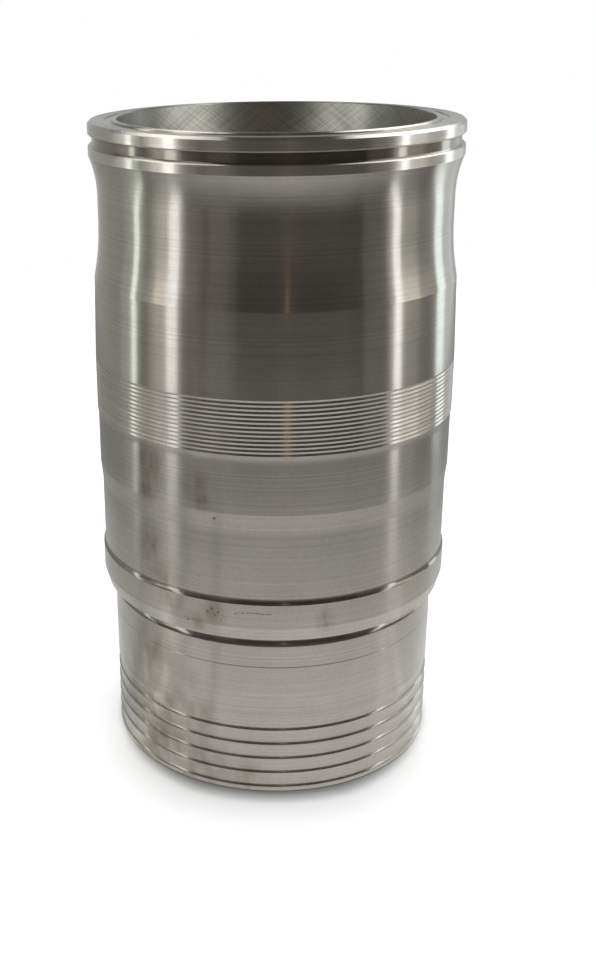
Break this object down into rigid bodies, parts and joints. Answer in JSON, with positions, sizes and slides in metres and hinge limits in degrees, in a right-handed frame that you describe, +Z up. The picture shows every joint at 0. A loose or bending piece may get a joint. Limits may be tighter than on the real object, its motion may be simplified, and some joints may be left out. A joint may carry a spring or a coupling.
{
  "type": "cylinder liner",
  "caption": "Wet cylinder liner for a heavy-duty diesel engine: turned iron sleeve with a top flange, serrated band, seating shoulder and seal grooves round its lower skirt.",
  "frame": {"origin": "centre of the bore at the foot's ground face, where the liner stands", "axes": "+Z up the bore's axis from the foot to the flange; X and Y are alike, because the liner is turned"},
  "size_m": [0.1627, 0.1628, 0.2904],
  "materials": {
    "liner_iron": "fine turned outside, cross-hatch honed bore, bare metal"
  },
  "bodies": {
    "root": {"cylinder_liner": "liner_iron"}
  },
  "joints": []
}
